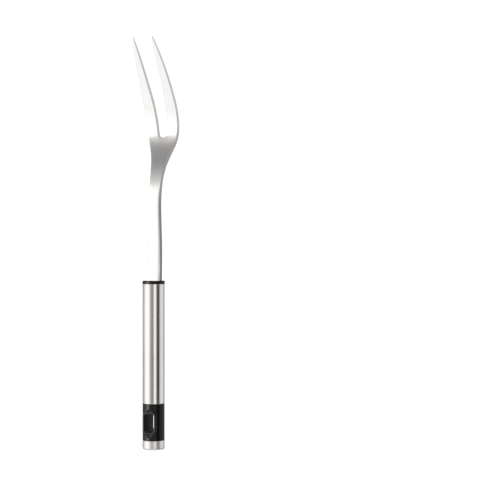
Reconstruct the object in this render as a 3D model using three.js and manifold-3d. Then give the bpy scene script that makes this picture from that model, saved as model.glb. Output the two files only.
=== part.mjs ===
// Two-tine serving and meat fork with a round stainless handle.
//
// The fork stands on its end cap: +Z runs up the handle to the tips, the
// concave front of the tines faces -Y, and +X is the right-hand side seen
// from the front. The origin is the centre of the cap's flat bottom.
// All lengths are millimetres.
//
// Assembly order on the bench: the head's tang goes through the collar, the
// tie rod welded to the tang runs down the tube, and the hanger body screws
// onto the rod through the washer and the captive nut in its spigot, which
// clamps the tube between hanger and collar. The end cap presses on last.

import * as THREE from 'three';
import { mergeVertices } from 'three/addons/utils/BufferGeometryUtils.js';
import Module from 'manifold-3d';

// ---------------------------------------------------------------- dimensions

const HANDLE_OD = 19.0;          // handle tube and end cap
const TUBE_WALL = 0.6;
const HANGER_OD = 18.9;          // moulded hanger section
const COLLAR_OD = 19.3;          // front ring, just proud of the tube

const CAP_TOP = 7.7;             // stations up the handle
const TUBE_BOTTOM = 39.3;
const TUBE_TOP = 141.5;
const COLLAR_TOP = 144.3;

const CAP_WALL = 0.7;
const CAP_EDGE_R = 1.3;          // rounded bottom edge of the cap
const CAP_LIP_R = 0.2;

const SPIGOT_OD = 17.4;          // spigots inside the tube and the cap
const SPIGOT_UP = 14.0;          // hanger spigot length inside the tube
const SPIGOT_DOWN_END = 1.5;     // hanger spigot end inside the cap
const COLLAR_SPIGOT = 10.0;

const SLOT_Z = 22.98;            // hanging slot, through the handle along Y
const SLOT_W = 8.75;
const SLOT_H = 16.0;
const SLOT_R = 2.2;
const RIM_W = 12.6;              // raised rim round both mouths of the slot
const RIM_H = 19.1;
const RIM_R = 3.2;
const RIM_FACE = 9.6;            // rim face to handle axis
const SCOOP = { x: 7.6, y: 2.6, z: 13.7, out: 1.1 };   // oval scoop half-sizes
const SCOOP_Z = 22.15;             // centre of the scoop

const TANG_W = 8.0;
const TANG_T = 3.2;
const TANG_Y = 0.6;
const TANG_END = 120.0;
const TANG_GAP = 0.3;

const ROD_D = 5.0;
const ROD_END = 41.8;
const ROD_BORE = 5.6;
const NUT_AF = 8.0;
const NUT_T = 4.0;
const WASHER_OD = 9.6;
const WASHER_T = 1.0;
const POCKET_BOTTOM = 43.0;      // side-loaded pocket for nut and washer

// Head stations: z, centre-line y (front is -Y), half width over both tines,
// thickness, crown (how far each face falls towards its edges, as a share of
// half the thickness).
const HEAD = [
  [144.3, 1.00, 6.72, 5.20, 0.140],
  [149.0, 1.35, 6.65, 5.20, 0.140],
  [156.0, 2.15, 6.38, 5.10, 0.140],
  [162.0, 2.70, 6.18, 5.10, 0.140],
  [171.0, 3.40, 5.86, 5.00, 0.140],
  [180.0, 3.75, 5.56, 5.00, 0.140],
  [196.0, 3.80, 5.08, 4.90, 0.140],
  [207.0, 3.70, 4.86, 4.80, 0.140],
  [214.0, 3.85, 4.91, 4.70, 0.130],
  [219.7, 4.15, 4.99, 4.60, 0.120],
  [224.0, 4.60, 5.14, 4.60, 0.100],
  [228.3, 5.35, 5.25, 4.60, 0.080],
  [232.7, 6.50, 5.40, 4.50, 0.060],
  [237.1, 8.00, 5.70, 4.50, 0.050],
  [241.5, 9.90, 6.22, 4.50, 0.045],
  [246.0, 12.00, 6.98, 4.40, 0.040],
  [250.4, 14.20, 8.00, 4.40, 0.040],
  [254.9, 16.35, 9.30, 4.40, 0.035],
  [259.4, 18.45, 10.76, 4.40, 0.030],
  [263.8, 20.20, 12.13, 4.40, 0.025],
  [268.3, 21.35, 13.22, 4.40, 0.020],
  [273.5, 21.60, 14.03, 4.40, 0.020],
  [278.7, 20.95, 14.38, 4.35, 0.020],
  [284.0, 19.55, 14.58, 4.30, 0.030],
  [289.5, 17.60, 14.70, 4.30, 0.040],
  [295.0, 15.00, 14.68, 4.25, 0.050],
  [300.5, 11.95, 14.46, 4.20, 0.060],
  [308.5, 6.95, 14.08, 4.10, 0.080],
  [316.7, 1.60, 13.60, 3.90, 0.090],
  [324.5, -3.85, 13.03, 3.60, 0.100],
  [332.5, -9.70, 12.18, 3.20, 0.110],
  [340.0, -15.20, 11.11, 2.70, 0.120],
  [346.0, -19.60, 10.08, 2.10, 0.130],
  [350.6, -23.00, 9.08, 1.30, 0.150],
];
// Gap between the tines: z, half gap.
const GAP = [
  [272.8, 4.70],
  [278.7, 4.95],
  [289.5, 5.50],
  [300.5, 5.85],
  [316.7, 6.75],
  [332.5, 7.30],
  [346.0, 8.05],
  [356.0, 8.70],
];
const CROTCH_R = 4.70;           // round bottom of the gap, tangent at 272.8

const RING_SEGMENTS = 48;
const SECTION_POINTS = 28;
// 45 degree edge break on all four corners of the section: its leg on the
// shank, its leg on the tines, and the heights between which it narrows.
const EDGE_SHANK = 0.55;
const EDGE_TINE = 0.3;
const EDGE_FROM = 214.0;
const EDGE_TO = 240.0;

// -------------------------------------------------------------------- helpers

const wasm = await Module();
wasm.setup();

// A closed geometry as a solid: only positions, shared vertices merged,
// collapsed triangles dropped, faces turned outward.
function solid(geometry) {
  const g = geometry.index ? geometry.clone() : geometry.clone();
  for (const name of Object.keys(g.attributes)) if (name !== 'position') g.deleteAttribute(name);
  const merged = mergeVertices(g, 1e-4);
  const p = merged.attributes.position.array;
  const raw = merged.index.array;
  const keep = [];
  let volume = 0;
  for (let i = 0; i < raw.length; i += 3) {
    const [a, b, c] = [raw[i], raw[i + 1], raw[i + 2]];
    if (a === b || b === c || c === a) continue;
    keep.push(a, b, c);
    const [ax, ay, az, bx, by, bz, cx, cy, cz] = [...p.slice(3 * a, 3 * a + 3), ...p.slice(3 * b, 3 * b + 3), ...p.slice(3 * c, 3 * c + 3)];
    volume += ax * (by * cz - bz * cy) - ay * (bx * cz - bz * cx) + az * (bx * cy - by * cx);
  }
  if (volume < 0) for (let i = 0; i < keep.length; i += 3) [keep[i + 1], keep[i + 2]] = [keep[i + 2], keep[i + 1]];
  return new wasm.Manifold(new wasm.Mesh({ numProp: 3, vertProperties: new Float32Array(p), triVerts: new Uint32Array(keep) }));
}

function geometryOf(manifold) {
  const m = manifold.getMesh();
  const g = new THREE.BufferGeometry();
  g.setAttribute('position', new THREE.BufferAttribute(new Float32Array(m.vertProperties), 3));
  g.setIndex(new THREE.BufferAttribute(new Uint32Array(m.triVerts), 1));
  g.computeVertexNormals();
  return g;
}

// Profile of [radius, z] pairs turned about the Z axis.
function turned(profile, segments = RING_SEGMENTS) {
  const g = new THREE.LatheGeometry(profile.map(([r, z]) => new THREE.Vector2(r, z)), segments);
  g.rotateX(Math.PI / 2);
  return g;
}

// Rounded rectangle in (x, z) pushed along Y from y0 to y1.
function windowPrism(w, h, r, zc, y0, y1) {
  const s = new THREE.Shape();
  const a = w / 2, b = h / 2;
  s.moveTo(-a + r, -b);
  s.lineTo(a - r, -b);
  s.absarc(a - r, -b + r, r, -Math.PI / 2, 0, false);
  s.lineTo(a, b - r);
  s.absarc(a - r, b - r, r, 0, Math.PI / 2, false);
  s.lineTo(-a + r, b);
  s.absarc(-a + r, b - r, r, Math.PI / 2, Math.PI, false);
  s.lineTo(-a, -b + r);
  s.absarc(-a + r, -b + r, r, Math.PI, 1.5 * Math.PI, false);
  const g = new THREE.ExtrudeGeometry(s, { depth: y1 - y0, bevelEnabled: false, curveSegments: 6 });
  g.rotateX(Math.PI / 2);          // shape y becomes z, extrusion runs along -Y
  g.translate(0, y1, zc);
  return g;
}

function box(x0, x1, y0, y1, z0, z1) {
  const g = new THREE.BoxGeometry(x1 - x0, y1 - y0, z1 - z0);
  g.translate((x0 + x1) / 2, (y0 + y1) / 2, (z0 + z1) / 2);
  return g;
}

function hexPrism(af, z0, z1) {
  const g = new THREE.CylinderGeometry(af / Math.sqrt(3), af / Math.sqrt(3), z1 - z0, 6);
  g.rotateX(Math.PI / 2);
  g.rotateZ(Math.PI / 6);
  g.translate(0, 0, (z0 + z1) / 2);
  return g;
}

// Smooth curve through rows of [z, ...values]: cubic Hermite in z.
function along(rows, z) {
  const n = rows.length;
  if (z <= rows[0][0]) return rows[0].slice(1);
  if (z >= rows[n - 1][0]) return rows[n - 1].slice(1);
  let i = 0;
  while (rows[i + 1][0] < z) i++;
  const [a, b] = [rows[i], rows[i + 1]];
  const h = b[0] - a[0];
  const t = (z - a[0]) / h;
  const slope = (j, k) => {
    const lo = Math.max(j - 1, 0), hi = Math.min(j + 1, n - 1);
    return (rows[hi][k] - rows[lo][k]) / (rows[hi][0] - rows[lo][0]);
  };
  return a.slice(1).map((_, q) => {
    const k = q + 1;
    const t2 = t * t, t3 = t2 * t;
    return (2 * t3 - 3 * t2 + 1) * a[k] + (t3 - 2 * t2 + t) * h * slope(i, k)
      + (-2 * t3 + 3 * t2) * b[k] + (t3 - t2) * h * slope(i + 1, k);
  });
}

// ----------------------------------------------------------------- fork head

// One point of the head's cross-section, square to its centre line: a flat
// side wall, a 45 degree edge break and a crowned face, k counted round from
// the middle of the +X wall.
function sectionPoint(k, half, thick, crown, leg) {
  const quarter = SECTION_POINTS / 4;
  const turn = k % SECTION_POINTS;
  const front = turn > SECTION_POINTS / 2 ? -1 : 1;
  const inHalf = front > 0 ? turn : SECTION_POINTS - turn;
  const side = inHalf > quarter ? -1 : 1;
  const j = side > 0 ? inHalf : 2 * quarter - inHalf;
  const top = thick / 2 * (1 - crown);
  const r = Math.min(leg, 0.5 * top);
  if (j === 0) return [side * half, 0];
  if (j <= 3) {
    const t = (j - 1) / 2;
    return [side * (half - r * t), front * (top - r * (1 - t))];
  }
  const q = [0.80, 0.60, 0.34, 0][j - 4];
  return [side * q * half, front * thick / 2 * (1 - crown * Math.pow(q, 5))];
}

// A straight rod of round section, whose rings are then laid square to the
// fork's curved centre line and given each station's section.
function headBlank() {
  const zs = [];
  for (let i = 0; i < HEAD.length - 1; i++) {
    const parts = HEAD[i + 1][0] - HEAD[i][0] > 7 ? 2 : 1;
    for (let k = 0; k < parts; k++) zs.push(HEAD[i][0] + (HEAD[i + 1][0] - HEAD[i][0]) * k / parts);
  }
  zs.push(HEAD[HEAD.length - 1][0]);
  const circle = new THREE.Shape();
  for (let k = 0; k < SECTION_POINTS; k++) {
    const t = 2 * Math.PI * k / SECTION_POINTS;
    if (k === 0) circle.moveTo(Math.cos(t), Math.sin(t)); else circle.lineTo(Math.cos(t), Math.sin(t));
  }
  circle.closePath();
  const g = new THREE.ExtrudeGeometry(circle, { depth: 1, steps: zs.length - 1, bevelEnabled: false });
  const p = g.attributes.position;
  for (let i = 0; i < p.count; i++) {
    const z = zs[Math.round(p.getZ(i) * (zs.length - 1))];
    const k = Math.round(Math.atan2(p.getY(i), p.getX(i)) / (2 * Math.PI) * SECTION_POINTS) + SECTION_POINTS;
    const [y, half, thick, crown] = along(HEAD, z);
    const e = 0.05;
    const lean = z <= HEAD[0][0] ? 0 : Math.atan2(along(HEAD, z + e)[0] - along(HEAD, z - e)[0],
      Math.min(z + e, HEAD[HEAD.length - 1][0]) - (z - e));
    const taper = Math.min(Math.max((z - EDGE_FROM) / (EDGE_TO - EDGE_FROM), 0), 1);
    const leg = EDGE_SHANK + (EDGE_TINE - EDGE_SHANK) * taper;
    const [sx, sy] = sectionPoint(k, half, thick, crown, leg);
    p.setXYZ(i, sx, y + sy * Math.cos(lean), z - sy * Math.sin(lean));
  }
  return g;
}

// Space between the tines: a round-bottomed outline pushed through along Y.
function tineGap() {
  const s = new THREE.Shape();
  const z0 = GAP[0][0];
  s.moveTo(-CROTCH_R, z0);
  for (let k = 1; k <= 14; k++) {
    const t = Math.PI + Math.PI * k / 14;
    s.lineTo(CROTCH_R * Math.cos(t), z0 + CROTCH_R * Math.sin(t));
  }
  const top = GAP[GAP.length - 1][0];
  const zs = [];
  for (let z = z0 + 5; z < top; z += 5) zs.push(z);
  zs.push(top);
  for (const z of zs) s.lineTo(along(GAP, z)[0], z);
  for (const z of zs.reverse()) s.lineTo(-along(GAP, z)[0], z);
  s.closePath();
  const g = new THREE.ExtrudeGeometry(s, { depth: 80, bevelEnabled: false });
  g.rotateX(Math.PI / 2);
  g.translate(0, 40, 0);
  return g;
}

const tang = box(-TANG_W / 2, TANG_W / 2, TANG_Y - TANG_T / 2, TANG_Y + TANG_T / 2, TANG_END, COLLAR_TOP + 1.0);
const forkHead = solid(headBlank()).subtract(solid(tineGap())).add(solid(tang));

// ------------------------------------------------------------------- tie rod

const tieRod = turned([
  [0, ROD_END], [ROD_D / 2 - 0.5, ROD_END], [ROD_D / 2, ROD_END + 0.5],
  [ROD_D / 2, TANG_END], [0, TANG_END],
], 24);

// --------------------------------------------------------------- front collar

const collarBlank = turned([
  [0, TUBE_TOP - COLLAR_SPIGOT],
  [SPIGOT_OD / 2 - 0.6, TUBE_TOP - COLLAR_SPIGOT],
  [SPIGOT_OD / 2, TUBE_TOP - COLLAR_SPIGOT + 0.6],
  [SPIGOT_OD / 2, TUBE_TOP],
  [COLLAR_OD / 2 - 0.25, TUBE_TOP],
  [COLLAR_OD / 2, TUBE_TOP + 0.25],
  [COLLAR_OD / 2, COLLAR_TOP - 0.7],
  [COLLAR_OD / 2 - 0.22, COLLAR_TOP - 0.2],
  [COLLAR_OD / 2 - 0.75, COLLAR_TOP],
  [0, COLLAR_TOP],
]);
const tangHole = box(-TANG_W / 2 - TANG_GAP, TANG_W / 2 + TANG_GAP,
  TANG_Y - TANG_T / 2 - TANG_GAP, TANG_Y + TANG_T / 2 + TANG_GAP,
  TUBE_TOP - COLLAR_SPIGOT - 1, COLLAR_TOP + 1);
const frontCollar = solid(collarBlank).subtract(solid(tangHole));

// ---------------------------------------------------------------- handle tube

const OUT = HANDLE_OD / 2;
const IN = HANDLE_OD / 2 - TUBE_WALL;
const handleTube = turned([
  [IN, TUBE_BOTTOM], [OUT - 0.15, TUBE_BOTTOM], [OUT, TUBE_BOTTOM + 0.15],
  [OUT, TUBE_TOP - 0.15], [OUT - 0.15, TUBE_TOP], [IN, TUBE_TOP], [IN, TUBE_BOTTOM],
]);

// ---------------------------------------------------------------- hanger body

const HR = HANGER_OD / 2;
const SR = SPIGOT_OD / 2;
const hangerBlank = turned([
  [0, SPIGOT_DOWN_END],
  [SR - 0.6, SPIGOT_DOWN_END], [SR, SPIGOT_DOWN_END + 0.6], [SR, CAP_TOP],
  [HR - 0.2, CAP_TOP], [HR, CAP_TOP + 0.2],
  [HR, TUBE_BOTTOM - 0.2], [HR - 0.2, TUBE_BOTTOM], [SR, TUBE_BOTTOM],
  [SR, TUBE_BOTTOM + SPIGOT_UP - 0.8], [SR - 0.8, TUBE_BOTTOM + SPIGOT_UP],
  [0, TUBE_BOTTOM + SPIGOT_UP],
]);

function scoop(side) {
  const g = new THREE.SphereGeometry(1, 32, 20);
  g.rotateX(Math.PI / 2);
  g.scale(SCOOP.x, SCOOP.y, SCOOP.z);
  g.translate(0, side * (HR + SCOOP.out), SCOOP_Z);
  return g;
}

const rodBore = turned([
  [0, ROD_END - 1.6], [ROD_BORE / 2, ROD_END - 1.6],
  [ROD_BORE / 2, TUBE_BOTTOM + SPIGOT_UP + 1], [0, TUBE_BOTTOM + SPIGOT_UP + 1],
], 24);
// The pocket opens on +X, so nut and washer slide in from the side.
const pocketHalf = WASHER_OD / 2 + 0.2;
const nutPocket = box(-pocketHalf, HANGER_OD, -pocketHalf, pocketHalf,
  POCKET_BOTTOM, POCKET_BOTTOM + NUT_T + WASHER_T + 0.4);

const hangerBody = solid(hangerBlank)
  .subtract(solid(scoop(-1))).subtract(solid(scoop(1)))
  .add(solid(windowPrism(RIM_W, RIM_H, RIM_R, SLOT_Z, -RIM_FACE, RIM_FACE)))
  .subtract(solid(windowPrism(SLOT_W, SLOT_H, SLOT_R, SLOT_Z, -2 * HANGER_OD, 2 * HANGER_OD)))
  .subtract(solid(rodBore)).subtract(solid(nutPocket));

// -------------------------------------------------------------- clamp fasteners

const nutBottom = POCKET_BOTTOM + 0.2;
const threadHole = turned([
  [0, nutBottom - 1], [ROD_D / 2 + 0.15, nutBottom - 1],
  [ROD_D / 2 + 0.15, nutBottom + NUT_T + 1], [0, nutBottom + NUT_T + 1],
], 24);
const clampNut = solid(hexPrism(NUT_AF, nutBottom, nutBottom + NUT_T)).subtract(solid(threadHole));
const clampWasher = turned([
  [ROD_D / 2 + 0.2, nutBottom + NUT_T], [WASHER_OD / 2, nutBottom + NUT_T],
  [WASHER_OD / 2, nutBottom + NUT_T + WASHER_T], [ROD_D / 2 + 0.2, nutBottom + NUT_T + WASHER_T],
  [ROD_D / 2 + 0.2, nutBottom + NUT_T],
], 24);

// -------------------------------------------------------------------- end cap

function capProfile() {
  const pts = [[0, 0]];
  for (let k = 0; k <= 5; k++) {
    const t = -Math.PI / 2 + (Math.PI / 2) * k / 5;
    pts.push([OUT - CAP_EDGE_R + CAP_EDGE_R * Math.cos(t), CAP_EDGE_R + CAP_EDGE_R * Math.sin(t)]);
  }
  pts.push([OUT, CAP_TOP - CAP_LIP_R], [OUT - CAP_LIP_R, CAP_TOP], [OUT - CAP_WALL, CAP_TOP],
    [OUT - CAP_WALL, CAP_EDGE_R], [OUT - CAP_WALL - 0.6, CAP_WALL], [0, CAP_WALL]);
  return pts;
}
const endCap = turned(capProfile());

// ---------------------------------------------------------------- scene graph

const steel = (color, roughness) => new THREE.MeshStandardMaterial({ color, roughness, metalness: 1.0 });
const plastic = (color, roughness) => new THREE.MeshStandardMaterial({ color, roughness, metalness: 0.0 });

function piece(name, shape, material) {
  const geometry = shape.isBufferGeometry ? geometryOf(solid(shape)) : geometryOf(shape);
  const mesh = new THREE.Mesh(geometry, material);
  mesh.name = name;
  return mesh;
}

const fork = new THREE.Group();
const head = new THREE.Group();
head.add(piece('fork_head', forkHead, steel(0xd9d9d7, 0.14)));
head.add(piece('tie_rod', tieRod, steel(0x9c9da0, 0.4)));
fork.add(head);

const handle = new THREE.Group();
handle.add(piece('front_collar', frontCollar, plastic(0x161616, 0.35)));
handle.add(piece('handle_tube', handleTube, steel(0xc9c6c1, 0.32)));
handle.add(piece('hanger_body', hangerBody, plastic(0x141414, 0.28)));
handle.add(piece('clamp_nut', clampNut, steel(0xb9b39c, 0.4)));
handle.add(piece('clamp_washer', clampWasher, steel(0xa9aaac, 0.4)));
handle.add(piece('end_cap', endCap, steel(0xcfccc8, 0.24)));
fork.add(handle);

export default fork;
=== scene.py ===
import math

import bmesh
import bpy
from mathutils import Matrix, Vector


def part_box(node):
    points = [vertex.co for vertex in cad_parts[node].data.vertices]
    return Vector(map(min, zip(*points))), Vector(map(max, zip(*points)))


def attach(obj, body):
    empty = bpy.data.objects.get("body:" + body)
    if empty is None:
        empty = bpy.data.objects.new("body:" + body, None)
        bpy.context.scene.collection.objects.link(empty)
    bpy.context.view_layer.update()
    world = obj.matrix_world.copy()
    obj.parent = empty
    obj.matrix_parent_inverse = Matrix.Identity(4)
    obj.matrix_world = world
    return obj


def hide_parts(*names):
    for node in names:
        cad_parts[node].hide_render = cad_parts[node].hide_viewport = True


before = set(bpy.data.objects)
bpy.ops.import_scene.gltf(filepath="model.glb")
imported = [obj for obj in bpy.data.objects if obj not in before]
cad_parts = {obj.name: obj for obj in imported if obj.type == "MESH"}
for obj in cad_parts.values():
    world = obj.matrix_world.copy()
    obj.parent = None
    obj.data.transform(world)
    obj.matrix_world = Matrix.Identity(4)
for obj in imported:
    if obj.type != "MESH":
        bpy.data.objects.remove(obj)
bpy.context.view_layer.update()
MM = 0.001

# ------------------------------------------------------------------ the frame
# Stations up the handle, in millimetres: part ends and radii are read from the imported model, the other numbers are
# given.


def span(node, axis):
    lo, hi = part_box(node)
    return lo[axis] / MM, hi[axis] / MM


COLLAR_BOTTOM, COLLAR_TOP = span("front_collar", 2)
TUBE_BOTTOM, TUBE_TOP = span("handle_tube", 2)
HANGER_BOTTOM, HANGER_END = span("hanger_body", 2)
CAP_BOTTOM, CAP_TOP = span("end_cap", 2)
TANG_END, HEAD_TOP = span("fork_head", 2)
TUBE_R = span("handle_tube", 0)[1]
COLLAR_R = span("front_collar", 0)[1]
HANGER_R = span("hanger_body", 0)[1]
CAP_R = span("end_cap", 0)[1]
RIM_FACE = span("hanger_body", 1)[1]
SPIGOT_R = 8.7
TUBE_WALL = 0.6
CAP_WALL = 0.7
SLOT_Z, SLOT_W, SLOT_H, SLOT_R = 22.98, 8.75, 16.0, 2.2
RIM_W, RIM_H, RIM_R = 12.6, 19.1, 3.2
SCOOP_Z = 22.15

# ---------------------------------------------------------------- mesh helpers


def new_object(name, bm, sharp=32.0):
    bmesh.ops.recalc_face_normals(bm, faces=bm.faces)
    mesh = bpy.data.meshes.new(name)
    bm.to_mesh(mesh)
    bm.free()
    for p in mesh.polygons:
        p.use_smooth = True
    if sharp:
        mesh.set_sharp_from_angle(angle=math.radians(sharp))
    obj = bpy.data.objects.new(name, mesh)
    bpy.context.scene.collection.objects.link(obj)
    return obj


def bake_modifiers(obj, sharp=None):
    """The modifiers' result becomes the object's own mesh."""
    bpy.context.view_layer.update()
    dg = bpy.context.evaluated_depsgraph_get()
    mesh = bpy.data.meshes.new_from_object(obj.evaluated_get(dg))
    obj.modifiers.clear()
    obj.data = mesh
    for p in mesh.polygons:
        p.use_smooth = True
    if sharp:
        mesh.set_sharp_from_angle(angle=math.radians(sharp))
    return obj


def lathe(profile, segments=144):
    """bmesh of a closed profile [(radius, z)] in millimetres turned about Z."""
    bm = bmesh.new()
    rings = []
    for r, z in profile:
        if r < 1e-6:
            rings.append([bm.verts.new((0, 0, z * MM))])
        else:
            rings.append([
                bm.verts.new((
                    r * MM * math.cos(2 * math.pi * k / segments),
                    r * MM * math.sin(2 * math.pi * k / segments),
                    z * MM))
                for k in range(segments)])
    pairs = list(zip(rings, rings[1:]))
    if profile[0][0] > 1e-6:
        pairs.append((rings[-1], rings[0]))
    for a, b in pairs:
        for k in range(segments):
            n = (k + 1) % segments
            if len(a) == 1 and len(b) == 1:
                continue
            if len(a) == 1:
                bm.faces.new((a[0], b[k], b[n]))
            elif len(b) == 1:
                bm.faces.new((a[k], a[n], b[0]))
            else:
                bm.faces.new((a[k], a[n], b[n], b[k]))
    return bm


def arc(cx, cz, r, a0, a1, n=6):
    return [(cx + r * math.cos(math.radians(a0 + (a1 - a0) * k / n)),
             cz + r * math.sin(math.radians(a0 + (a1 - a0) * k / n))) for k in range(n + 1)]


def rounded_outline(w, h, r, per_corner=12, per_side=8):
    """Points round a rounded rectangle, anticlockwise, always the same count."""
    a, b = w / 2, h / 2
    pts = []
    corners = [(a - r, -b + r, -90), (a - r, b - r, 0), (-a + r, b - r, 90), (-a + r, -b + r, 180)]
    for i, (cx, cz, start) in enumerate(corners):
        ring = [(cx + r * math.cos(math.radians(start + 90 * k / per_corner)),
                 cz + r * math.sin(math.radians(start + 90 * k / per_corner))) for k in range(per_corner + 1)]
        pts += ring
        nx, nz, ns = corners[(i + 1) % 4]
        end = (nx + r * math.cos(math.radians(ns)), nz + r * math.sin(math.radians(ns)))
        last = ring[-1]
        for k in range(1, per_side):
            t = k / per_side
            pts.append((last[0] + (end[0] - last[0]) * t, last[1] + (end[1] - last[1]) * t))
    return pts


def outline_prism(w, h, r, zc, levels):
    """A prism along Y whose outline grows by each level's offset: [(y, offset)]."""
    bm = bmesh.new()
    rings = []
    for y, off in levels:
        pts = rounded_outline(w + 2 * off, h + 2 * off, max(r + off, 0.05))
        rings.append([bm.verts.new((x * MM, y * MM, (zc + z) * MM)) for x, z in pts])
    for a, b in zip(rings, rings[1:]):
        n = len(a)
        for k in range(n):
            bm.faces.new((a[k], a[(k + 1) % n], b[(k + 1) % n], b[k]))
    bm.faces.new(rings[0])
    bm.faces.new(rings[-1])
    return bm


def boolean(obj, other, how):
    m = obj.modifiers.new(how, "BOOLEAN")
    m.object = other
    m.operation = how
    m.solver = "EXACT"
    bake_modifiers(obj)
    bpy.data.objects.remove(other)
    return obj


def along(rows, z):
    """Cubic Hermite through rows of (z, values...)."""
    n = len(rows)
    if z <= rows[0][0]:
        return rows[0][1:]
    if z >= rows[-1][0]:
        return rows[-1][1:]
    i = 0
    while rows[i + 1][0] < z:
        i += 1
    a, b = rows[i], rows[i + 1]
    h = b[0] - a[0]
    t = (z - a[0]) / h

    def slope(j, k):
        lo, hi = max(j - 1, 0), min(j + 1, n - 1)
        return (rows[hi][k] - rows[lo][k]) / (rows[hi][0] - rows[lo][0])

    out = []
    for k in range(1, len(a)):
        t2, t3 = t * t, t * t * t
        out.append((2 * t3 - 3 * t2 + 1) * a[k] + (t3 - 2 * t2 + t) * h * slope(i, k)
                   + (-2 * t3 + 3 * t2) * b[k] + (t3 - t2) * h * slope(i + 1, k))
    return tuple(out)


# ------------------------------------------------------------------- fork head
# z, centre-line y (front is -Y), half width over both tines, thickness, and how
# far each face falls towards its edges. The same stations as the CAD solid.
HEAD = [
    (144.3, 1.00, 6.72, 5.20, 0.140), (149.0, 1.35, 6.65, 5.20, 0.140), (156.0, 2.15, 6.38, 5.10, 0.140),
    (162.0, 2.70, 6.18, 5.10, 0.140), (171.0, 3.40, 5.86, 5.00, 0.140), (180.0, 3.75, 5.56, 5.00, 0.140),
    (196.0, 3.80, 5.08, 4.90, 0.140), (207.0, 3.70, 4.86, 4.80, 0.140), (214.0, 3.85, 4.91, 4.70, 0.130),
    (219.7, 4.15, 4.99, 4.60, 0.120), (224.0, 4.60, 5.14, 4.60, 0.100), (228.3, 5.35, 5.25, 4.60, 0.080),
    (232.7, 6.50, 5.40, 4.50, 0.060), (237.1, 8.00, 5.70, 4.50, 0.050), (241.5, 9.90, 6.22, 4.50, 0.045),
    (246.0, 12.00, 6.98, 4.40, 0.040), (250.4, 14.20, 8.00, 4.40, 0.040), (254.9, 16.35, 9.30, 4.40, 0.035),
    (259.4, 18.45, 10.76, 4.40, 0.030), (263.8, 20.20, 12.13, 4.40, 0.025), (268.3, 21.35, 13.22, 4.40, 0.020),
    (273.5, 21.60, 14.03, 4.40, 0.020), (278.7, 20.95, 14.38, 4.35, 0.020), (284.0, 19.55, 14.58, 4.30, 0.030),
    (289.5, 17.60, 14.70, 4.30, 0.040), (295.0, 15.00, 14.68, 4.25, 0.050), (300.5, 11.95, 14.46, 4.20, 0.060),
    (308.5, 6.95, 14.08, 4.10, 0.080), (316.7, 1.60, 13.60, 3.90, 0.090), (324.5, -3.85, 13.03, 3.60, 0.100),
    (332.5, -9.70, 12.18, 3.20, 0.110), (340.0, -15.20, 11.11, 2.70, 0.120), (346.0, -19.60, 10.08, 2.10, 0.130),
    (350.6, -23.00, 9.08, 1.30, 0.150),
]
GAP = [(272.8, 4.70), (278.7, 4.95), (289.5, 5.50), (300.5, 5.85), (316.7, 6.75), (332.5, 7.30), (346.0, 8.05), (356.0, 8.70)]
CROTCH_R = 4.70
CROTCH_Z = 272.8


def edge(z):
    """Leg of the section's 45 degree edge break: 0.55 mm on the shank, 0.3 mm on the tines."""
    return 0.55 - 0.25 * min(max((z - 214) / 26, 0.0), 1.0)


def head_point(u, z, h):
    """u across, z up the centre line, h towards the front, all millimetres."""
    y = along(HEAD, z)[0]
    e = 0.4
    za, zb = max(z - e, HEAD[0][0]), min(z + e, HEAD[-1][0])
    lean = math.atan2(along(HEAD, zb)[0] - along(HEAD, za)[0], zb - za)
    if z <= HEAD[0][0] + 0.01:
        lean = 0.0
    return Vector((u, y - h * math.cos(lean), z + h * math.sin(lean))) * MM


def face_height(u, z):
    """Half thickness of the head at u from the middle plane, z up the centre line."""
    _, hw, t, crown = along(HEAD, z)
    return t / 2 * (1 - crown * min(abs(u) / hw, 1.0) ** 5)


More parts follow.
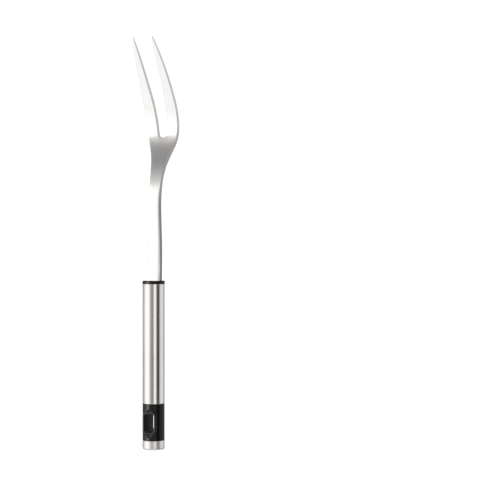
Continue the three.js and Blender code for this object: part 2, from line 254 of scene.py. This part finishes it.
def make_head():
    bm = bmesh.new()
    crease = bm.edges.layers.float.new("crease_edge")
    ground = bm.verts.layers.float.new("ground")          # 1 on the side walls, 0 on the polished faces
    columns = ["c0", "c1", "c2", "c3", "m1", "m2", "e", "b"]   # centre out to the wall
    frac = {"c0": 0.0, "c1": 0.16, "c2": 0.31, "c3": 0.46, "m1": 0.61, "m2": 0.76}

    def pair(u, z, h, wall=0.0):
        """The front and back vertex at one place of the plate."""
        out = (bm.verts.new(head_point(u, z, h)), bm.verts.new(head_point(u, z, -h)))
        for v in out:
            v[ground] = wall
        return out

    rows = []            # each row: {column: {side: (front, back)}}

    def full_row(z, bend=0.0):
        row = {}
        hw = along(HEAD, z)[1]
        for c in columns:
            f = frac.get(c, 1.0)
            zz = z - bend * (1 - f) ** 1.5
            u = {"e": hw - edge(zz), "b": hw}.get(c, f * along(HEAD, zz)[1])
            h = face_height(u, zz) - (edge(zz) if c == "b" else 0)
            row[c] = {s: pair(s * u, zz, h, float(c == "b")) for s in ((1,) if c == "c0" else (1, -1))}
            if c == "c0":
                row[c][-1] = row[c][1]
        rows.append(row)
        return row

    # flat tang inside the handle, then the shoulder, then the shank and neck
    z0 = HEAD[0][0]
    tang_rows = []
    for z in (TANG_END, TANG_END + 0.5, (TANG_END + z0) / 2, z0 - 0.5, z0):
        row = {}
        for c in columns:
            u = {"e": 3.7, "b": 4.0}.get(c, frac.get(c, 1.0) * 4.0)
            h = 1.3 if c == "b" else 1.6
            row[c] = {}
            for s in ((1,) if c == "c0" else (1, -1)):
                row[c][s] = tuple(bm.verts.new((s * u * MM, (0.6 - q * h) * MM, z * MM)) for q in (1, -1))
            if c == "c0":
                row[c][-1] = row[c][1]
        rows.append(row)
        tang_rows.append(row)
    shoulder = full_row(z0)
    for z in (z0 + 0.7, z0 + 2.6, 151.0, 156.0, 162.0, 168.0, 174.5, 181.0, 188.0, 195.0, 202.0, 208.5,
              214.0, 218.6, 222.7, 226.6, 230.4, 234.2, 238.0, 241.8, 245.6, 249.4, 253.2):
        full_row(z)
    full_row(257.0, bend=0.3)
    full_row(260.6, bend=0.9)
    full_row(264.9, bend=1.9)

    # crotch: loops round the end of the gap, U on its wall, V beside it, W further out
    reach = {"U": CROTCH_R, "V": CROTCH_R + 0.3, "W": CROTCH_R + 1.6}
    loop = {"U": [], "V": [], "W": []}
    for name, r in reach.items():
        for k in range(4):
            t = math.radians(30 * k)
            u, zz = r * math.sin(t), CROTCH_Z - r * math.cos(t)
            h = face_height(u, zz) - (0.3 if name == "U" else 0)
            at = {1: pair(u, zz, h, float(name == "U"))}
            at[-1] = at[1] if k == 0 else pair(-u, zz, h, float(name == "U"))
            loop[name].append(at)

    def tine_row(z, inner=None):
        hw = along(HEAD, z)[1]
        g = along(GAP, z)[0]
        if inner is not None:
            g = reach["U"] * math.sin(math.radians(30 * inner))
        w = hw - g
        r = min(edge(z), 0.2 * w, 0.5 * face_height(hw, z))
        places = {"U": (g, 1), "V": (g + r, 0), "W": (g + 0.175 * w, 0), "c3": (g + 0.35 * w, 0),
                  "m1": (g + 0.54 * w, 0), "m2": (g + 0.77 * w, 0), "e": (hw - r, 0), "b": (hw, 1)}
        row = {}
        for c, (u, wall) in places.items():
            if inner is not None and c in loop:
                row[c] = loop[c][inner]
                continue
            row[c] = {s: pair(s * u, z, face_height(u, z) - r * wall, float(wall)) for s in (1, -1)}
        return row

    tines = [tine_row(269.3, inner=2), tine_row(CROTCH_Z, inner=3)]
    for z in (276.2, 279.8, 283.6, 287.6, 291.8, 296.2, 300.8, 305.6, 310.6, 315.7, 320.9, 326.0, 331.0, 335.8,
              340.2, 344.0, 347.2, 349.3, 350.35):
        tines.append(tine_row(z))

    def quad(a, b, c, d):
        return bm.faces.new((a, b, c, d))

    def strip(r0, r1, names):
        for s in (1, -1):
            for c, d in zip(names, names[1:]):
                for i in (0, 1):
                    quad(r0[c][s][i], r0[d][s][i], r1[d][s][i], r1[c][s][i])

    def wall(r0, r1, name):
        for s in (1, -1):
            quad(r0[name][s][0], r1[name][s][0], r1[name][s][1], r0[name][s][1])

    for r0, r1 in zip(rows, rows[1:]):
        strip(r0, r1, columns)
        wall(r0, r1, "b")
    first = rows[0]
    for s in (1, -1):
        for c, d in zip(columns, columns[1:]):
            quad(first[c][s][0], first[d][s][0], first[d][s][1], first[c][s][1])
    # neck into the crotch
    last = rows[-1]
    t0 = tines[0]
    names = ["c0", "c1", "c2"]
    for s in (1, -1):
        for i in (0, 1):
            for k in range(2):
                quad(last[names[k]][s][i], last[names[k + 1]][s][i], loop["W"][k + 1][s][i], loop["W"][k][s][i])
                for a, b in (("W", "V"), ("V", "U")):
                    quad(loop[a][k][s][i], loop[a][k + 1][s][i], loop[b][k + 1][s][i], loop[b][k][s][i])
            quad(last["c2"][s][i], last["c3"][s][i], t0["c3"][s][i], loop["W"][2][s][i])
            for c, d in (("c3", "m1"), ("m1", "m2"), ("m2", "e"), ("e", "b")):
                quad(last[c][s][i], last[d][s][i], t0[d][s][i], t0[c][s][i])
        quad(last["b"][s][0], t0["b"][s][0], t0["b"][s][1], last["b"][s][1])
        for k in range(2):
            quad(loop["U"][k][s][0], loop["U"][k + 1][s][0], loop["U"][k + 1][s][1], loop["U"][k][s][1])
    cols = ["U", "V", "W", "c3", "m1", "m2", "e", "b"]
    for r0, r1 in zip(tines, tines[1:]):
        strip(r0, r1, cols)
        wall(r0, r1, "U")
        wall(r0, r1, "b")
    tip = tines[-1]
    for s in (1, -1):
        for c, d in zip(cols, cols[1:]):
            quad(tip[c][s][0], tip[d][s][0], tip[d][s][1], tip[c][s][1])

    # crisp shoulder where the shank meets the collar, crisp butt end
    breaks = set()
    for r0, r1, names in [(a, b, ("e", "b")) for a, b in zip(rows[4:], rows[5:])] + \
            [(a, b, ("V", "U", "e", "b")) for a, b in zip(tines, tines[1:])] + [(rows[-1], tines[0], ("e", "b"))]:
        for c in names:
            for s in (1, -1):
                breaks |= {frozenset((r0[c][s][i], r1[c][s][i])) for i in (0, 1)}
    for e in bm.edges:
        if frozenset(e.verts) in breaks:
            e[crease] = 0.7

    def hard(row, weight):
        ring = []
        for s in (1, -1):
            for c, d in zip(columns, columns[1:]):
                ring += [{row[c][s][i], row[d][s][i]} for i in (0, 1)]
            ring.append({row["b"][s][0], row["b"][s][1]})
        for e in bm.edges:
            if set(e.verts) in ring:
                e[crease] = weight

    hard(shoulder, 1.0)
    hard(tang_rows[-1], 1.0)
    hard(tang_rows[0], 0.9)
    obj = new_object("fork_head_visual", bm, sharp=None)
    m = obj.modifiers.new("surface", "SUBSURF")
    m.levels = m.render_levels = 3
    bake_modifiers(obj, sharp=50)
    return obj


# ---------------------------------------------------------------- handle pieces


def make_tube():
    i, o = TUBE_R - TUBE_WALL, TUBE_R
    profile = [(i, TUBE_BOTTOM + 0.1), (i + 0.1, TUBE_BOTTOM)]
    profile += arc(o - 0.16, TUBE_BOTTOM + 0.16, 0.16, -90, 0, 4)
    steps = 24
    profile += [(o, TUBE_BOTTOM + 0.16 + (TUBE_TOP - TUBE_BOTTOM - 0.32) * k / steps) for k in range(1, steps)]
    profile += arc(o - 0.16, TUBE_TOP - 0.16, 0.16, 0, 90, 4)
    profile += [(i + 0.1, TUBE_TOP), (i, TUBE_TOP - 0.1)]
    return new_object("handle_tube_visual", lathe(profile, 160), sharp=40)


def make_cap():
    o, r = CAP_R, 1.3
    profile = [(0, CAP_BOTTOM), (3, CAP_BOTTOM), (6, CAP_BOTTOM)]
    profile += arc(o - r, CAP_BOTTOM + r, r, -90, 0, 10)
    profile += [(o, CAP_BOTTOM + 3.0), (o, CAP_BOTTOM + 5.0)]
    profile += arc(o - 0.22, CAP_TOP - 0.22, 0.22, 0, 90, 5)
    profile += [(o - CAP_WALL + 0.1, CAP_TOP), (o - CAP_WALL, CAP_TOP - 0.1)]
    profile += arc(o - CAP_WALL - 0.7, CAP_BOTTOM + CAP_WALL + 0.7, 0.7, 0, -90, 5)
    profile += [(0, CAP_BOTTOM + CAP_WALL)]
    return new_object("end_cap_visual", lathe(profile, 160), sharp=40)


def make_collar():
    o = COLLAR_R
    profile = [(0, COLLAR_BOTTOM), (SPIGOT_R - 0.6, COLLAR_BOTTOM), (SPIGOT_R, COLLAR_BOTTOM + 0.6), (SPIGOT_R, TUBE_TOP),
               (TUBE_R - 0.1, TUBE_TOP)]
    profile += arc(o - 0.3, TUBE_TOP + 0.3, 0.3, -90, 0, 4)
    profile += arc(o - 0.65, COLLAR_TOP - 0.65, 0.65, 0, 90, 8)
    # a shallow dished top that falls to the shank's seat
    profile += [(7.6, COLLAR_TOP), (7.2, COLLAR_TOP - 0.05), (6.9, COLLAR_TOP - 0.05), (0, COLLAR_TOP - 0.05)]
    obj = new_object("front_collar_visual", lathe(profile, 144), sharp=35)
    hole = outline_prism(8.6, 3.8, 0.4, 0, [(COLLAR_BOTTOM - 2, 0), (COLLAR_TOP + 2, 0)])
    for v in hole.verts:                      # stand the prism up along Z
        x, y, z = v.co
        v.co = (x, z + 0.6 * MM, y)
    boolean(obj, new_object("collar_hole", hole), "DIFFERENCE")
    obj.data.set_sharp_from_angle(angle=math.radians(35))
    return obj


def make_hanger():
    o = HANGER_R
    profile = [(0, HANGER_BOTTOM), (SPIGOT_R - 0.6, HANGER_BOTTOM), (SPIGOT_R, HANGER_BOTTOM + 0.6), (SPIGOT_R, CAP_TOP)]
    profile += arc(o - 0.3, CAP_TOP + 0.3, 0.3, -90, 0, 5)
    steps = 40
    profile += [(o, CAP_TOP + 0.3 + (TUBE_BOTTOM - CAP_TOP - 0.6) * k / steps) for k in range(1, steps)]
    profile += arc(o - 0.3, TUBE_BOTTOM - 0.3, 0.3, 0, 90, 5)
    profile += [(SPIGOT_R, TUBE_BOTTOM), (SPIGOT_R, HANGER_END - 0.8), (SPIGOT_R - 0.8, HANGER_END), (0, HANGER_END)]
    obj = new_object("hanger_body_visual", lathe(profile, 160))
    for side in (-1, 1):
        bm = bmesh.new()
        bmesh.ops.create_uvsphere(bm, u_segments=96, v_segments=64, radius=1.0)
        for v in bm.verts:
            v.co = (v.co.x * 7.6 * MM, v.co.y * 2.6 * MM + side * (o + 1.1) * MM, (v.co.z * 13.7 + SCOOP_Z) * MM)
        boolean(obj, new_object("scoop", bm), "DIFFERENCE")
    r = 0.5
    f = RIM_FACE
    def quarter(sign, rr, grow):
        out = []
        for k in range(6):
            t = math.radians(90 * k / 5)
            out.append((f - rr + rr * math.sin(t), grow * (rr - rr * math.cos(t))))
        return out
    outer = quarter(1, r, -1)
    levels = [(-y, d) for y, d in reversed(outer)] + outer
    boolean(obj, new_object("rim", outline_prism(RIM_W, RIM_H, RIM_R, SLOT_Z, levels)), "UNION")
    inner = quarter(1, 0.32, 1) + [(f + 3, 0.32)]
    levels = [(-y, d) for y, d in reversed(inner)] + inner
    boolean(obj, new_object("slot", outline_prism(SLOT_W, SLOT_H, SLOT_R, SLOT_Z, levels)), "DIFFERENCE")
    # rod bore and the side-loaded pocket for nut and washer, hidden in the tube
    bore = lathe([(0, 40.2), (2.8, 40.2), (2.8, HANGER_END + 1), (0, HANGER_END + 1)], 48)
    boolean(obj, new_object("bore", bore), "DIFFERENCE")
    pocket = bmesh.new()
    bmesh.ops.create_cube(pocket, size=1.0)
    for v in pocket.verts:
        v.co = ((v.co.x * 24 + 7) * MM, v.co.y * 10 * MM, (v.co.z * 5.4 + 45.7) * MM)
    boolean(obj, new_object("pocket", pocket), "DIFFERENCE")
    obj.data.set_sharp_from_angle(angle=math.radians(30))
    return obj


head = make_head()
tube = make_tube()
cap = make_cap()
collar = make_collar()
hanger = make_hanger()

# -------------------------------------------------------------------- materials


def material(name):
    m = bpy.data.materials.new(name)
    m.use_nodes = True
    nt = m.node_tree
    bsdf = next(n for n in nt.nodes if n.type == "BSDF_PRINCIPLED")
    return m, nt, bsdf


def node(nt, kind, **inputs):
    n = nt.nodes.new(kind)
    for key, value in inputs.items():
        setattr(n, key, value)
    return n


def noise(nt, scale, stretch, detail=4.0, rough=0.55):
    tc = node(nt, "ShaderNodeTexCoord")
    mp = node(nt, "ShaderNodeMapping")
    mp.inputs["Scale"].default_value = stretch
    nt.links.new(tc.outputs["Object"], mp.inputs["Vector"])
    n = node(nt, "ShaderNodeTexNoise")
    n.inputs["Scale"].default_value = scale
    n.inputs["Detail"].default_value = detail
    n.inputs["Roughness"].default_value = rough
    nt.links.new(mp.outputs["Vector"], n.inputs["Vector"])
    return n.outputs["Fac"]


def remap(nt, value, lo, hi, out_lo, out_hi):
    m = node(nt, "ShaderNodeMapRange")
    m.inputs["From Min"].default_value = lo
    m.inputs["From Max"].default_value = hi
    m.inputs["To Min"].default_value = out_lo
    m.inputs["To Max"].default_value = out_hi
    nt.links.new(value, m.inputs["Value"])
    return m.outputs["Result"]


def two_colours(nt, fac, a, b):
    m = node(nt, "ShaderNodeMix", data_type="RGBA")
    m.inputs["A"].default_value = (*a, 1)
    m.inputs["B"].default_value = (*b, 1)
    nt.links.new(fac, m.inputs["Factor"])
    return m.outputs["Result"]


def add(nt, a, b, how="ADD"):
    m = node(nt, "ShaderNodeMath", operation=how)
    nt.links.new(a, m.inputs[0])
    if isinstance(b, (int, float)):
        m.inputs[1].default_value = b
    else:
        nt.links.new(b, m.inputs[1])
    return m.outputs[0]


def bump(nt, bsdf, height, strength, distance):
    b = node(nt, "ShaderNodeBump")
    b.inputs["Strength"].default_value = strength
    b.inputs["Distance"].default_value = distance
    nt.links.new(height, b.inputs["Height"])
    nt.links.new(b.outputs["Normal"], bsdf.inputs["Normal"])


def steel(name, light, dark, grain, fine, rough, aniso, radial, bump_strength, scratch=0.0, wash=0.5):
    """Stainless steel: grain is the stretch of the polishing lines along X, Y and Z."""
    m, nt, bsdf = material(name)
    bsdf.inputs["Metallic"].default_value = 1.0
    lines = noise(nt, 1.0, grain, 6.0, 0.6)
    finer = noise(nt, 1.0, fine, 3.0, 0.5)
    cloud = noise(nt, 38.0, (1, 1, 0.5), 3.0, 0.5)
    mixed = add(nt, add(nt, lines, 0.45, "MULTIPLY"), add(nt, cloud, wash, "MULTIPLY"))
    tone = remap(nt, mixed, 0.45 * 0.32 + wash * 0.35, 0.45 * 0.68 + wash * 0.65, 0.0, 1.0)
    nt.links.new(two_colours(nt, tone, dark, light), bsdf.inputs["Base Color"])
    r = remap(nt, add(nt, add(nt, lines, 0.6, "MULTIPLY"), add(nt, cloud, 0.4, "MULTIPLY")), 0.3, 0.7, rough[0], rough[1])
    if scratch:
        hair = noise(nt, 1.0, (fine[0] * 0.35, fine[1] * 0.35, fine[2] * 0.7), 2.0, 0.5)
        marks = remap(nt, hair, 0.66, 0.74, 0.0, scratch)
        r = add(nt, r, marks)
    nt.links.new(r, bsdf.inputs["Roughness"])
    bsdf.inputs["Anisotropic"].default_value = aniso
    tangent = node(nt, "ShaderNodeTangent", direction_type="RADIAL", axis=radial)
    nt.links.new(tangent.outputs["Tangent"], bsdf.inputs["Tangent"])
    bump(nt, bsdf, add(nt, lines, finer), bump_strength, 0.00004)
    return m


def ground_edges_painted_shade(material_made, shank, colour, rough):
    """The side walls and edge breaks are ground to a satin roughness with faint streaks; their base colour is also
    darkened as painted shade, most of all below the tines.
    """
    nt = material_made.node_tree
    bsdf = next(n for n in nt.nodes if n.type == "BSDF_PRINCIPLED")
    mark = node(nt, "ShaderNodeAttribute", attribute_type="GEOMETRY", attribute_name="ground")
    wall = remap(nt, mark.outputs["Fac"], 0.04, 0.3, 0.0, 1.0)
    streak = noise(nt, 1.0, (900, 900, 900), 3.0, 0.6)
    rise = node(nt, "ShaderNodeSeparateXYZ")
    nt.links.new(node(nt, "ShaderNodeTexCoord").outputs["Object"], rise.inputs[0])
    # Painted shade: the walls' base colour is darkest on the shank and lightens up the neck and again onto the
    # tines.
    neck = remap(nt, rise.outputs["Z"], 0.205, 0.226, 0.0, 0.28)
    tine = remap(nt, rise.outputs["Z"], 0.262, 0.276, 0.0, 0.58)
    tone = add(nt, add(nt, neck, tine), remap(nt, streak, 0.3, 0.7, -0.09, 0.09))
    dull_painted_shade = two_colours(nt, tone, shank, colour)
    mix = node(nt, "ShaderNodeMix", data_type="RGBA")
    nt.links.new(wall, mix.inputs["Factor"])
    nt.links.new(bsdf.inputs["Base Color"].links[0].from_socket, mix.inputs["A"])
    nt.links.new(dull_painted_shade, mix.inputs["B"])
    nt.links.new(mix.outputs["Result"], bsdf.inputs["Base Color"])
    level = node(nt, "ShaderNodeMix", data_type="FLOAT")
    nt.links.new(wall, level.inputs["Factor"])
    nt.links.new(bsdf.inputs["Roughness"].links[0].from_socket, level.inputs["A"])
    level.inputs["B"].default_value = rough
    nt.links.new(level.outputs["Result"], bsdf.inputs["Roughness"])


def object_axis(nt, axis):
    sep = node(nt, "ShaderNodeSeparateXYZ")
    nt.links.new(node(nt, "ShaderNodeTexCoord").outputs["Object"], sep.inputs[0])
    return sep.outputs[axis]


def matt_core(made, half_x, half_y, rough):
    """The slot's walls keep the matt finish of the mould's core."""
    nt = made.node_tree
    bsdf = next(n for n in nt.nodes if n.type == "BSDF_PRINCIPLED")
    inside = None
    for axis, half in (("X", half_x), ("Y", half_y)):
        away = node(nt, "ShaderNodeMath", operation="ABSOLUTE")
        nt.links.new(object_axis(nt, axis), away.inputs[0])
        step = remap(nt, away.outputs[0], half - 0.0001, half + 0.0001, 1.0, 0.0)
        inside = step if inside is None else add(nt, inside, step, "MULTIPLY")
    level = node(nt, "ShaderNodeMix", data_type="FLOAT")
    nt.links.new(inside, level.inputs["Factor"])
    nt.links.new(bsdf.inputs["Roughness"].links[0].from_socket, level.inputs["A"])
    level.inputs["B"].default_value = rough
    nt.links.new(level.outputs["Result"], bsdf.inputs["Roughness"])


def cap_bottom_painted_shade(made, height, share):
    """Painted shade: the cap's base colour darkens in blotches towards its bottom edge, a painted contact shadow
    line.
    """
    nt = made.node_tree
    bsdf = next(n for n in nt.nodes if n.type == "BSDF_PRINCIPLED")
    spots = noise(nt, 1.0, (420, 420, 420), 4.0, 0.6)
    # Painted shade: strongest at the bottom, fading out by the given height.
    contact_shade = remap(nt, object_axis(nt, "Z"), 0.3 * height, height, share, 0.0)
    fac = add(nt, contact_shade, remap(nt, spots, 0.3, 0.7, 0.8, 1.2), "MULTIPLY")
    mix = node(nt, "ShaderNodeMix", data_type="RGBA")
    nt.links.new(fac, mix.inputs["Factor"])
    nt.links.new(bsdf.inputs["Base Color"].links[0].from_socket, mix.inputs["A"])
    mix.inputs["B"].default_value = (0.30, 0.297, 0.29, 1)
    nt.links.new(mix.outputs["Result"], bsdf.inputs["Base Color"])


def plastic(name, base, lift, rough, grain_scale, bump_strength, ior):
    """Moulded black plastic: fine mould grain, faint handling marks, and a painted highlight that lightens convex
    edges.
    """
    m, nt, bsdf = material(name)
    grain = noise(nt, grain_scale, (1, 1, 1), 2.0, 0.5)
    cloud = noise(nt, 120.0, (1, 1, 1), 4.0, 0.6)
    smear = noise(nt, 1.0, (160, 160, 900), 4.0, 0.6)
    edge_highlight_geo = node(nt, "ShaderNodeNewGeometry")
    # Painted highlight: the base colour lifts along convex edges.
    edge = remap(nt, edge_highlight_geo.outputs["Pointiness"], 0.53, 0.62, 0.0, 1.0)
    tone = remap(nt, add(nt, add(nt, cloud, 0.6, "MULTIPLY"), add(nt, edge, 0.55, "MULTIPLY")), 0.22, 0.9, 0.0, 1.0)
    nt.links.new(two_colours(nt, tone, base, lift), bsdf.inputs["Base Color"])
    r = remap(nt, add(nt, add(nt, cloud, 0.5, "MULTIPLY"), add(nt, smear, 0.5, "MULTIPLY")), 0.3, 0.7, rough[0], rough[1])
    nt.links.new(r, bsdf.inputs["Roughness"])
    bsdf.inputs["IOR"].default_value = ior
    bump(nt, bsdf, add(nt, grain, add(nt, cloud, 0.5, "MULTIPLY")), bump_strength, 0.00005)
    return m


MAT = {
    "polished_steel": steel("polished_steel", (0.97, 0.97, 0.965), (0.90, 0.897, 0.89), (700, 700, 14), (2600, 2600, 60),
                            (0.07, 0.13), 0.25, "Z", 0.10, scratch=0.05),
    "brushed_steel": steel("brushed_steel", (0.81, 0.804, 0.797), (0.70, 0.692, 0.684), (60, 60, 5200), (200, 200, 14000),
                           (0.13, 0.20), 0.6, "Z", 0.10, scratch=0.04),
    "cap_steel": steel("cap_steel", (0.83, 0.824, 0.815), (0.71, 0.702, 0.692), (80, 80, 4200), (240, 240, 11000),
                       (0.27, 0.35), 0.5, "Z", 0.12, scratch=0.05),
    "plain_steel": steel("plain_steel", (0.62, 0.62, 0.63), (0.48, 0.48, 0.49), (1500, 1500, 40), (3000, 3000, 90),
                         (0.3, 0.45), 0.3, "Z", 0.2),
    "zinc_steel": steel("zinc_steel", (0.74, 0.72, 0.64), (0.6, 0.58, 0.5), (900, 900, 900), (2600, 2600, 2600),
                        (0.3, 0.42), 0.0, "Z", 0.25),
    # Both black plastics carry a painted edge highlight.
    "black_hanger": plastic("black_hanger", (0.0018, 0.0018, 0.0019), (0.0045, 0.0045, 0.0048), (0.20, 0.30), 6000.0, 0.10, 1.30),
    "black_collar": plastic("black_collar", (0.0020, 0.0020, 0.0020), (0.0050, 0.0050, 0.0050), (0.24, 0.34), 5000.0, 0.14, 1.32),
}
matt_core(MAT["black_hanger"], 0.0046, 0.0092, 0.55)
# Painted contact shadow along the cap's bottom edge.
cap_bottom_painted_shade(MAT["cap_steel"], 0.0018, 0.42)
# Painted shade on the fork's side walls, darkest on the shank.
ground_edges_painted_shade(MAT["polished_steel"], (0.36, 0.352, 0.342), (0.86, 0.855, 0.845), 0.42)


def dress(obj, slot_name):
    obj.data.materials.clear()
    obj.data.materials.append(MAT[slot_name])


for piece, cad, slot_name in (
    (head, "fork_head", "polished_steel"), (tube, "handle_tube", "brushed_steel"), (cap, "end_cap", "cap_steel"),
    (collar, "front_collar", "black_collar"), (hanger, "hanger_body", "black_hanger"),
):
    dress(piece, slot_name)
    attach(piece, "root")
    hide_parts(cad)

for name, slot_name in (("tie_rod", "plain_steel"), ("clamp_nut", "zinc_steel"), ("clamp_washer", "zinc_steel")):
    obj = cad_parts[name]
    for s in obj.material_slots:
        s.material = MAT[slot_name]
    if not obj.material_slots:
        obj.data.materials.append(MAT[slot_name])

# ----------------------------------------------------------------------- studio

floor_bm = bmesh.new()
bmesh.ops.create_grid(floor_bm, x_segments=8, y_segments=8, size=14.0)
floor = new_object("studio_floor", floor_bm, sharp=None)
floor_mat, nt, bsdf = material("studio_floor")
speck = noise(nt, 9.0, (1, 1, 1), 2.0, 0.5)
nt.links.new(two_colours(nt, speck, (0.90, 0.90, 0.90), (0.93, 0.93, 0.93)), bsdf.inputs["Base Color"])
bsdf.inputs["Roughness"].default_value = 0.9
bsdf.inputs["Specular IOR Level"].default_value = 0.0
floor.data.materials.append(floor_mat)
floor.visible_glossy = False
floor.visible_shadow = False

VIEW_AZ = 24.0          # the camera's place round the fork, from the front

# The studio round the fork, by compass angle from the camera: white wall, one tall
# soft box to the left, dark flags beside the camera. Colours are linear.
ROUND = [
    (-180, 0.34), (-150, 0.37), (-132, 0.54), (-111, 0.76), (-94, 1.20), (-80, 1.50), (-67, 1.55), (-55, 1.38),
    (-43.6, 1.00), (-32.6, 0.54), (-21.9, 0.37), (-11.4, 0.26), (-1, 0.46), (9.3, 1.40), (19.8, 1.30), (30.4, 0.37),
    (41.3, 0.0), (52.6, 0.0), (64.5, 0.44), (77.3, 0.92), (91.3, 0.97), (107, 0.88), (125, 0.55), (141, 0.50),
    (161, 0.45), (180, 0.34),
]
# Brightness against height above the horizon, where the ceiling darkens.
UP = [(0, 1.12), (10, 1.06), (18, 0.88), (27, 0.66), (31, 0.58), (35, 0.53), (39, 0.46), (43, 0.405), (47, 0.345),
      (51, 0.275), (58, 0.252), (90, 0.25)]
# The white table under the fork.
DOWN = [(-180, 0.60), (-120, 0.88), (-95, 0.99), (-25, 0.99), (30, 0.78), (90, 0.58), (180, 0.60)]


def studio_world():
    world = bpy.data.worlds.new("studio")
    bpy.context.scene.world = world
    world.use_nodes = True
    nt = world.node_tree
    nt.nodes.clear()
    tc = node(nt, "ShaderNodeTexCoord")
    sep = node(nt, "ShaderNodeSeparateXYZ")
    nt.links.new(tc.outputs["Generated"], sep.inputs[0])

    def maths(how, a, b=None):
        m = node(nt, "ShaderNodeMath", operation=how)
        for i, v in enumerate((a, b)):
            if v is None:
                continue
            if isinstance(v, (int, float)):
                m.inputs[i].default_value = v
            else:
                nt.links.new(v, m.inputs[i])
        return m.outputs[0]

    x, y, z = sep.outputs
    compass = maths("ARCTAN2", x, maths("MULTIPLY", y, -1.0))             # 0 in front of the fork
    turned = maths("SUBTRACT", compass, math.radians(VIEW_AZ))
    share = maths("DIVIDE", maths("ADD", turned, math.pi), 2 * math.pi)
    share = maths("FRACT", maths("ADD", share, 1.0))
    height = maths("ARCSINE", z)

    def ramp(stops, value, span):
        r = node(nt, "ShaderNodeValToRGB")
        nt.links.new(value, r.inputs["Fac"])
        els = r.color_ramp.elements
        for i, (pos, colour) in enumerate(stops):
            t = (pos - span[0]) / (span[1] - span[0])
            e = els[i] if i < 2 else els.new(t)
            e.position = t
        for e, (pos, colour) in zip(sorted(els, key=lambda q: q.position), stops):
            e.color = (*[c / 5.0 for c in colour], 1)
        return r.outputs["Color"]

    def warm(stops):
        """The studio's light is a little warm, most of all in its darker parts."""
        return [(a, (v, v * (0.955 + 0.02 * min(v, 1)), v * (0.90 + 0.06 * min(v, 1)))) for a, v in stops]

    around = ramp(warm(ROUND), share, (-180, 180))
    up = ramp([(a, (v, v * 0.985, v * 0.965)) for a, v in UP], remap(nt, height, 0, math.pi / 2, 0, 1), (0, 90))

    def blend(fac, a, b):
        m = node(nt, "ShaderNodeMix", data_type="RGBA")
        nt.links.new(fac, m.inputs["Factor"])
        for key, v in (("A", a), ("B", b)):
            if isinstance(v, tuple):
                m.inputs[key].default_value = (*v, 1)
            else:
                nt.links.new(v, m.inputs[key])
        return m.outputs["Result"]

    rise = remap(nt, height, math.radians(9), math.radians(21), 0, 1)
    fall = remap(nt, height, math.radians(-14), math.radians(-40), 0, 1)
    studio = blend(rise, around, up)
    studio = blend(fall, studio, ramp([(a, (v, v * 0.995, v * 0.985)) for a, v in DOWN], share, (-180, 180)))
    path = node(nt, "ShaderNodeLightPath")
    shown = blend(path.outputs["Is Camera Ray"], studio, (0.21, 0.21, 0.21))
    bg = node(nt, "ShaderNodeBackground")
    nt.links.new(shown, bg.inputs["Color"])
    bg.inputs["Strength"].default_value = 5.0
    out = node(nt, "ShaderNodeOutputWorld")
    nt.links.new(bg.outputs[0], out.inputs["Surface"])


studio_world()

sun_data = bpy.data.lights.new("overhead_diffuser", "SUN")
sun_data.energy = 2.9
sun_data.angle = math.radians(70)
sun = bpy.data.objects.new("overhead_diffuser", sun_data)
bpy.context.scene.collection.objects.link(sun)
sun.rotation_euler = (math.radians(24), math.radians(-14), 0)
sun.visible_glossy = False
sun_data.use_shadow = False

# The tall soft box beside the camera, seen as a sheen on the black plastic.
receivers = bpy.data.collections.new("soft_box_receivers")
for obj in (collar, hanger):
    receivers.objects.link(obj)
box_data = bpy.data.lights.new("soft_box", "AREA")
box_data.shape = "RECTANGLE"
box_data.size, box_data.size_y = 1.24, 0.66
box_data.energy = 22.0
box = bpy.data.objects.new("soft_box", box_data)
bpy.context.scene.collection.objects.link(box)
box_az = math.radians(VIEW_AZ - 68)
box.location = (math.sin(box_az) * 1.5, -math.cos(box_az) * 1.5, -0.10)
box.rotation_mode = "QUATERNION"
box.rotation_quaternion = Vector((-math.sin(box_az), math.cos(box_az), 0)).to_track_quat("-Z", "Z")
box.visible_camera = False
box.light_linking.receiver_collection = receivers

# ----------------------------------------------------------------------- camera

cam_data = bpy.data.cameras.new("camera")
cam_data.lens = 100.0
cam_data.sensor_width = 36.0
cam = bpy.data.objects.new("camera", cam_data)
bpy.context.scene.collection.objects.link(cam)
DISTANCE = 1.1946
az = math.radians(VIEW_AZ)
cam.location = (math.sin(az) * DISTANCE, -math.cos(az) * DISTANCE, 0.1706)
turn = math.radians(3.97)                 # the fork stands left of the frame's centre
look = Vector((-math.sin(az), math.cos(az), 0)) * math.cos(turn) + Vector((math.cos(az), math.sin(az), 0)) * math.sin(turn)
cam.rotation_mode = "QUATERNION"
cam.rotation_quaternion = look.to_track_quat("-Z", "Y")
cam_data.clip_start, cam_data.clip_end = 0.02, 60.0
bpy.context.scene.camera = cam
bpy.context.scene.view_settings.view_transform = "Standard"

bpy.context.view_layer.update()
